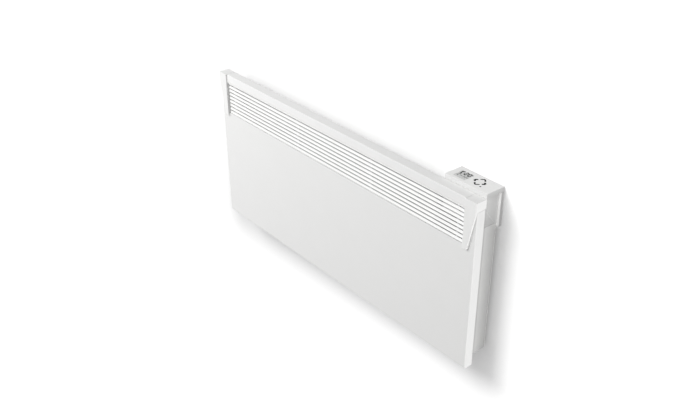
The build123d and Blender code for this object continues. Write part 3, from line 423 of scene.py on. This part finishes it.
WINDOW_LAP = 1.5                        # mm that the window reaches under the lid all round
DISPLAY_INSET = 0.15                    # mm from the opening's edges and below the lid's top
PANE_THICKNESS = 0.4
PANE_GAP = 0.1                          # mm between the pane and the cell
FIGURES, FIGURE_LEFTS, FIGURE_FRONT = "20", (345.4, 354.2), -23.2
FIGURE_HEIGHT, FIGURE_BAR = 10.2, 3.5   # a figure's height and its bars' width
SMALL_FIGURES, SMALL_CORNER, SMALL_PITCH = "203", (351.4, -32.2), 4.0
SMALL_HEIGHT, SMALL_BAR = 4.2, 1.1
DEGREE = ((361.2, -14.6), 1.5)
LIT_SIGNS = [                           # start, end and width of the small signs' bars, mm
    ((335.2, -17.8), (341.0, -13.2), 4.0), ((336.4, -20.6), (339.8, -23.2), 3.6),
    ((338.0, -22.6), (339.2, -26.6), 3.2),
]
FAINT_SIGNS = [
    ((336.0, -32.2), (339.8, -32.2), 2.4), ((336.6, -28.4), (339.6, -28.4), 2.0),
    ((342.2, -29.8), (348.0, -29.8), 1.8),
]


def window_opening():
    """X and Y of the display opening's edges in the lid, in millimetres."""
    low, high = np.array(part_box("display_window")) / MM
    return low[:2] + WINDOW_LAP, high[:2] - WINDOW_LAP


def level_plate(name, low, high, bottom, top, material, slot):
    """A closed plate between two corners, as one wide bar."""
    middle = (low[1] + high[1]) / 2
    strokes = [((low[0], middle), (high[0], middle), high[1] - low[1])]
    return mesh_object(name, *bars(strokes, bottom, top), material, slot, smooth=False)


def make_display():
    """The display behind its clear pane: cell, lit figures and faint ones."""
    low, high = window_opening()
    lid_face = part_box("control_lid")[1][2] / MM
    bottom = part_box("display_window")[0][2] / MM
    pane_top = lid_face - DISPLAY_INSET
    cell_top = pane_top - PANE_THICKNESS
    low, high = low + DISPLAY_INSET, high - DISPLAY_INSET
    pane_bottom = cell_top + PANE_GAP
    pane = level_plate("display_pane", low, high, pane_bottom, pane_top, WINDOW, "window_plastic")
    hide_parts("display_window")
    level_plate("display_cell", low, high, bottom, cell_top, CRYSTAL, "window_plastic")
    film = (cell_top - INK_SUNK, cell_top + INK_PROUD)
    lit = []
    for figure, x in zip(FIGURES, FIGURE_LEFTS):
        lit += figure_strokes(figure, (x, FIGURE_FRONT), FIGURE_HEIGHT, FIGURE_BAR)
    faint = []
    for i, figure in enumerate(SMALL_FIGURES):
        corner = (SMALL_CORNER[0] + i * SMALL_PITCH, SMALL_CORNER[1])
        faint += figure_strokes(figure, corner, SMALL_HEIGHT, SMALL_BAR)
    prints = {
        "lit_figures": (bars(lit + LIT_SIGNS, *film), SEGMENT_INK),
        "faint_figures": (bars(faint + FAINT_SIGNS, *film), FAINT_INK),
        "degree_mark": (disc(*DEGREE, *film), FAINT_INK),
    }
    for name, (shape, ink) in prints.items():
        mesh_object(name, *shape, ink, "window_plastic", smooth=False)


# ---------------------------------------------------------------- screws
SCREW_HEAD_RADIUS = 2.8         # mm, as all sizes of the screws
SCREW_HEAD = 1.8                # height of the head
DOME_DROP, DOME_POWER = 0.75, 3.2       # how far the dome falls at its rim, and how suddenly
SCREW_RADIUS = 1.5
RIM_LEVEL = 0.3                 # where the head's side ends, over its height
SEAT_RADIUS = 0.97              # the head's radius at its seat, over its own
TIP_LENGTH, TIP_RADIUS = 0.5, 0.6       # the shank's tip: its length, and its radius over the shank's
RECESS_ARM = 1.7                # the cross's half length
RECESS_WIDTH = 0.42             # half the width of an arm
RECESS_DEPTH = 0.9
RECESS_FADE = 1.3               # the cross's depth would reach zero this many arms from the middle
MIDDLE = 0.02                   # where the rings start: a pinhole that an end face closes
SCREW_NODES = {                 # screws across, and along the height
    "flange_screws": (5, 1), "strip_screws": (4, 1), "control_screws": (2, 2), "board_screws": (2, 2),
}


def screw_surface(length, rings=14, sides=48):
    """A pan-head screw about its own axis, head upwards. Rings run from the middle of the head's
    top outwards, down its side, in under it and down the shank. The top is a dome that falls as a
    power of the distance from the axis, less a cross that is deepest in the middle."""
    turn = np.linspace(0, 2 * np.pi, sides, endpoint=False)[None, :]
    out = np.linspace(MIDDLE, 1.0, rings)[:, None]
    radius = SCREW_HEAD_RADIUS * out
    x, y = radius * np.cos(turn), radius * np.sin(turn)
    dome = SCREW_HEAD - DOME_DROP * out ** DOME_POWER
    near_arm = np.minimum(np.abs(x), np.abs(y)) < RECESS_WIDTH
    inside = near_arm & (np.maximum(np.abs(x), np.abs(y)) < RECESS_ARM)
    top = dome - RECESS_DEPTH * inside * (1 - (np.hypot(x, y) / (RECESS_ARM * RECESS_FADE)) ** 2)
    side_profile = [
        (SCREW_HEAD_RADIUS, SCREW_HEAD * RIM_LEVEL), (SCREW_HEAD_RADIUS * SEAT_RADIUS, 0.0),
        (SCREW_RADIUS, 0.0), (SCREW_RADIUS, TIP_LENGTH - length), (SCREW_RADIUS * TIP_RADIUS, -length),
        (MIDDLE, -length),
    ]
    profile = np.array(side_profile)[:, :, None]
    lower = np.stack([
        profile[:, 0] * np.cos(turn), profile[:, 0] * np.sin(turn), profile[:, 1] + 0 * turn,
    ], axis=-1)
    points = np.concatenate([np.stack([x, y, top], axis=-1), lower])
    count = len(points)
    grid = np.arange(count * sides).reshape(count, sides)
    following = np.roll(grid, -1, axis=1)
    faces = np.stack([grid[:-1], grid[1:], following[1:], following[:-1]], axis=-1).reshape(-1, 4)
    ends = [tuple(grid[0][::-1].tolist()), tuple(grid[-1].tolist())]
    return points.reshape(-1, 3), [tuple(face) for face in faces.tolist()] + ends


def make_screws():
    """Each group's screws, spread evenly over the node's box. Their heads point at the wall, and
    on the board at the front."""
    for node, (across, high) in SCREW_NODES.items():
        low_corner, high_corner = np.array(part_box(node)) / MM
        outward = -1 if node == "board_screws" else 1
        length = high_corner[1] - low_corner[1] - SCREW_HEAD
        seat = high_corner[1] - SCREW_HEAD if outward > 0 else low_corner[1] + SCREW_HEAD
        one, faces = screw_surface(length)
        xs = np.linspace(low_corner[0] + SCREW_HEAD_RADIUS, high_corner[0] - SCREW_HEAD_RADIUS, across)
        zs = np.linspace(low_corner[2] + SCREW_HEAD_RADIUS, high_corner[2] - SCREW_HEAD_RADIUS, high)
        points, joined = [], []
        for i, (x, z) in enumerate((x, z) for x in xs for z in (zs if high > 1 else [zs.mean()])):
            placed = np.stack([x + one[:, 0], seat + outward * one[:, 2], z - outward * one[:, 1]], axis=1)
            points.append(placed)
            joined += [tuple(i * len(one) + corner for corner in face) for face in faces]
        made = mesh_object(node + "_pan", np.vstack(points) * MM, joined, ZINC, "zinc_steel")
        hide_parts(node)


# ---------------------------------------------------------------- rocker's marks
ROCKER_AXIS = (362.0, -30.0, -168.5)
ROCKER_TILT = 7.0                       # degrees; at rest the right end is pressed in
ROCKER_FACE = {"waist": 3.4, "end": 8.4, "drop": 2.2}
ROCKER_MARK_REACH = 4.8                 # from the axis to a mark's middle
MARK_HALF = 1.9                         # the O's outer radius, and half the I's length
MARK_BORE = 1.25                        # the O's inner radius
MARK_STROKE = 0.7                       # the I's width


def on_rocker(side, points):
    """Points given across the rocker and along its face, laid on the left (-1) or right (+1)
    face: the face falls away from the waist, and the whole rocker is turned by its tilt."""
    slope = math.atan2(ROCKER_FACE["drop"], ROCKER_FACE["end"])
    points = np.asarray(points, float)
    x = side * (ROCKER_MARK_REACH + points[:, 1] * math.cos(slope))
    z = -ROCKER_FACE["waist"] - (ROCKER_MARK_REACH + points[:, 1]) * math.tan(slope) - points[:, 2]
    turn = math.radians(-ROCKER_TILT)
    turned = np.stack([
        x * math.cos(turn) + z * math.sin(turn), points[:, 0], z * math.cos(turn) - x * math.sin(turn),
    ], axis=1)
    return (turned + np.array(ROCKER_AXIS)) * MM


def ring(outer, inner, low, high, sides=28):
    """A closed flat ring: the outer and inner circle at the high level, the inner and outer one
    at the low level, and a band between each two that follow each other."""
    turn = np.linspace(0, 2 * np.pi, sides, endpoint=False)
    circles = [(outer, high), (inner, high), (inner, low), (outer, low)]
    points = np.vstack([
        np.column_stack([r * np.cos(turn), r * np.sin(turn), np.full(sides, level)]) for r, level in circles
    ])
    grid = np.arange(4 * sides).reshape(4, sides)
    around = np.roll(grid, -1, axis=1)
    under, turned = np.roll(grid, -1, axis=0), np.roll(around, -1, axis=0)
    return points, np.stack([grid, under, turned, around], axis=-1).reshape(-1, 4).tolist()


def make_rocker_marks():
    """I and O in white ink on the two faces of the rocker."""
    stroke, faces = bars([((-MARK_HALF, 0), (MARK_HALF, 0), MARK_STROKE)], -INK_SUNK, INK_PROUD)
    mesh_object("on_mark", on_rocker(-1, stroke / MM), faces, SWITCH_INK, "black_plastic", "rocker", False)
    circle, faces = ring(MARK_HALF, MARK_BORE, -INK_SUNK, INK_PROUD)
    mesh_object("off_mark", on_rocker(1, circle), faces, SWITCH_INK, "black_plastic", "rocker", False)


# ---------------------------------------------------------------- stage
WALL_OFFSET = 0.0005                    # keeps the wall off the bracket's back faces
FLOOR_LEVEL = -7.0
STAGE_REACH = 10.0
PAINTED_SHADOW_CENTRE = (-0.045, 0.0, -0.0675)    # the painted shadow's rectangle on the wall: its centre and half size
PAINTED_SHADOW_HALF = (0.445, 1.0, 0.1875)
PAINTED_SHADOW_FADE = 0.45                        # how far beyond the rectangle the painted shadow fades to white
PAINTED_SHADE_RUN = (-0.45, 0.25)               # X over which the darker painted shade at the left turns into the near painted shadow


def one_sided_white(name, left_shadow_paint, near_shadow_paint, reflected, bounce):
    """Matt white paint, clear from behind. The camera sees three coats of it, and reflections see
    two coats of the reflected colour, which lifts both to white; what it throws back on the
    object is the bounce colour. For the camera a soft shadow is painted into it: the paint is
    darker in a rectangle around the heater and fades to white beyond it, and this painted shade
    is darkest at the left, near the key, where it offsets the key's stronger light.
    How far a point is outside the rectangle is the length of its offset from the centre, made
    positive, less the half size, and at least zero."""
    material, tree = new_material(name)
    ray = add(tree, "ShaderNodeLightPath").outputs
    place = add(tree, "ShaderNodeTexCoord").outputs["Object"]
    # Painted shadow: the paint darkens inside a rectangle around the heater and fades to white outside it.
    offset = add(tree, "ShaderNodeVectorMath", {0: place, 1: PAINTED_SHADOW_CENTRE}, operation="SUBTRACT").outputs[0]
    reach = add(tree, "ShaderNodeVectorMath", {0: offset}, operation="ABSOLUTE").outputs[0]
    beyond = add(tree, "ShaderNodeVectorMath", {0: reach, 1: PAINTED_SHADOW_HALF}, operation="SUBTRACT").outputs[0]
    outside = add(tree, "ShaderNodeVectorMath", {0: beyond, 1: (0, 0, 0)}, operation="MAXIMUM").outputs[0]
    away = add(tree, "ShaderNodeVectorMath", {0: outside}, operation="LENGTH").outputs["Value"]
    distance = add(tree, "ShaderNodeMapRange", {"Value": away, "From Max": PAINTED_SHADOW_FADE}).outputs[0]
    sideways = add(tree, "ShaderNodeSeparateXYZ", {"Vector": place}).outputs["X"]
    run = {"Value": sideways, "From Min": PAINTED_SHADE_RUN[0], "From Max": PAINTED_SHADE_RUN[1]}
    rightwards = add(tree, "ShaderNodeMapRange", run).outputs[0]
    near = {"Factor": rightwards, 6: linear(left_shadow_paint), 7: linear(near_shadow_paint)}
    near_painted_shadow = add(tree, "ShaderNodeMix", near, data_type="RGBA").outputs[2]
    faded = {"Factor": distance, 6: near_painted_shadow, 7: linear("ffffff")}
    shade = add(tree, "ShaderNodeMix", faded, data_type="RGBA").outputs[2]
    coat = add(tree, "ShaderNodeBsdfDiffuse", {"Color": shade}).outputs[0]
    two_coats = add(tree, "ShaderNodeAddShader", {0: coat, 1: coat}).outputs[0]
    three_coats = add(tree, "ShaderNodeAddShader", {0: two_coats, 1: coat}).outputs[0]
    image = add(tree, "ShaderNodeBsdfDiffuse", {"Color": linear(reflected)}).outputs[0]
    mirrored = add(tree, "ShaderNodeAddShader", {0: image, 1: image}).outputs[0]
    dull = add(tree, "ShaderNodeBsdfDiffuse", {"Color": linear(bounce)}).outputs[0]
    unseen = add(tree, "ShaderNodeMixShader", {0: ray["Is Glossy Ray"], 1: dull, 2: mirrored}).outputs[0]
    shown = {0: ray["Is Camera Ray"], 1: unseen, 2: three_coats}
    front = add(tree, "ShaderNodeMixShader", shown).outputs[0]
    clear = add(tree, "ShaderNodeBsdfTransparent").outputs[0]
    behind = add(tree, "ShaderNodeNewGeometry").outputs["Backfacing"]
    side = add(tree, "ShaderNodeMixShader", {0: behind, 1: front, 2: clear}).outputs[0]
    add(tree, "ShaderNodeOutputMaterial", {"Surface": side})
    return material


def stage_plane(name, corners, material):
    mesh = bpy.data.meshes.new(name)
    mesh.from_pydata(corners, [], [(0, 1, 2, 3)])
    mesh.materials.append(material)
    made = bpy.data.objects.new(name, mesh)
    bpy.context.scene.collection.objects.link(made)


def make_stage():
    """The wall that the heater hangs on, and a floor far below it."""
    reach, wall, low = STAGE_REACH, WALL_OFFSET, FLOOR_LEVEL
    # The wall's camera paint: 959595 and a6a6a6 are a painted shadow around the heater, darker at the left;
    # cfcfcf is seen in reflections, 8c8c8c is the bounce.
    stage_plane(
        "wall",
        [(-reach, wall, low), (reach, wall, low), (reach, wall, reach), (-reach, wall, reach)],
        one_sided_white("wall_paint", "959595", "a6a6a6", "cfcfcf", "8c8c8c"),
    )
    stage_plane(
        "floor",
        [(-reach, -reach, low), (reach, -reach, low), (reach, wall, low), (-reach, wall, low)],
        one_sided_white("floor_paint", "f4f4f4", "f4f4f4", "f4f4f4", "c0c0c0"),
    )


# ---------------------------------------------------------------- lights
SKY_STRENGTH = 0.54
LAMPS = {                       # place, aim, width and height in metres, and watts
    "key": ((-1.0, -2.3, 2.4), (0, 0, 0), (2.2, 1.4), 66),
    "left": ((-1.3, -1.0, 0.2), (-0.2, 0, 0), (0.8, 0.8), 3.4),
    "overhead": ((1.0, -0.03, 0.6), (0.38, -0.03, 0.2), (0.3, 0.3), 2.8),
    "strip": ((2.5, 0.2, -0.4), (0.4, -0.03, -0.02), (0.8, 1.6), 32),
    "near": ((0.456, -0.088, 0.01), (0.424, -0.05, 0.01), (0.02, 0.5), 0.17),
    "brow": ((0.458, -0.091, 0.22), (0.4293, -0.062, 0.18), (0.03, 0.16), 0.092),
    "back": ((-1.6, 1.3, -1.2), (0, 0, 0), (0.8, 0.5), 34),
}
# What the names of the pieces start with that some lamps are kept to.
LID = ("control_lid",)
FLANKS = ("front_panel", "right_end_cap", "top_strip")
CASING_SIDES = ("right_casing_end", "rear_casing")
CONTROL_SIDES = ("control_body", "control_rear_cover")


def piece_group(name, pieces):
    group = bpy.data.collections.new(name)
    for piece in pieces:
        group.objects.link(piece)
    return group


def area_light(name, lit=None, shading=None, seen=True):
    """A rectangular lamp from the table. It may light only some pieces, and only some may stand
    in its way."""
    place, aim, size, watts = LAMPS[name]
    lamp = bpy.data.lights.new(name, "AREA")
    lamp.shape = "RECTANGLE"
    lamp.size, lamp.size_y = size
    lamp.energy = watts
    made = bpy.data.objects.new(name, lamp)
    made.location = place
    made.rotation_euler = (Vector(aim) - Vector(place)).to_track_quat("-Z", "Y").to_euler()
    made.visible_camera = seen
    made.visible_glossy = seen
    bpy.context.scene.collection.objects.link(made)
    if shading:
        made.light_linking.blocker_collection = piece_group(name + "_shading", shading)
    if lit:
        made.light_linking.receiver_collection = piece_group(name + "_lit", lit)


def make_sky():
    """A soft even sky, which the camera and reflections see as plain white."""
    world = bpy.data.worlds.new("studio")
    world.use_nodes = True
    tree = world.node_tree
    tree.nodes.clear()
    ray = add(tree, "ShaderNodeLightPath").outputs
    either = {0: ray["Is Camera Ray"], 1: ray["Is Glossy Ray"]}
    seen = add(tree, "ShaderNodeMath", either, operation="MAXIMUM").outputs[0]
    white = linear("ffffff")
    light = add(tree, "ShaderNodeBackground", {"Color": white, "Strength": SKY_STRENGTH}).outputs[0]
    image = add(tree, "ShaderNodeBackground", {"Color": white, "Strength": 1.0}).outputs[0]
    mix = add(tree, "ShaderNodeMixShader", {0: seen, 1: light, 2: image}).outputs[0]
    add(tree, "ShaderNodeOutputWorld", {"Surface": mix})
    bpy.context.scene.world = world


def make_lights():
    """A key at the left front; a weak lamp at the far left for all but the control's lid, which
    has its own from above; a strip at the right for the flanks beside the front; a narrow lamp
    close by for the casing's side and one for the control's; and a lamp behind for the back."""
    make_sky()
    pieces = [o for o in bpy.data.objects if o.type == "MESH" and o.name not in ("wall", "floor")]
    groups = {
        starts: [piece for piece in pieces if piece.name.startswith(starts)]
        for starts in (LID, FLANKS, CASING_SIDES, CONTROL_SIDES)
    }
    area_light("key")
    area_light("left", [piece for piece in pieces if piece not in groups[LID]])
    area_light("overhead", groups[LID])
    area_light("strip", groups[FLANKS], shading=pieces)
    area_light("near", groups[CASING_SIDES], seen=False)
    area_light("brow", groups[CONTROL_SIDES], seen=False)
    area_light("back", pieces, shading=pieces)


bpy.context.scene.view_settings.view_transform = "Standard"
make_camera()
paint_nodes()
round_edges()
make_key_marks()
make_display()
make_screws()
make_rocker_marks()
make_stage()
make_lights()
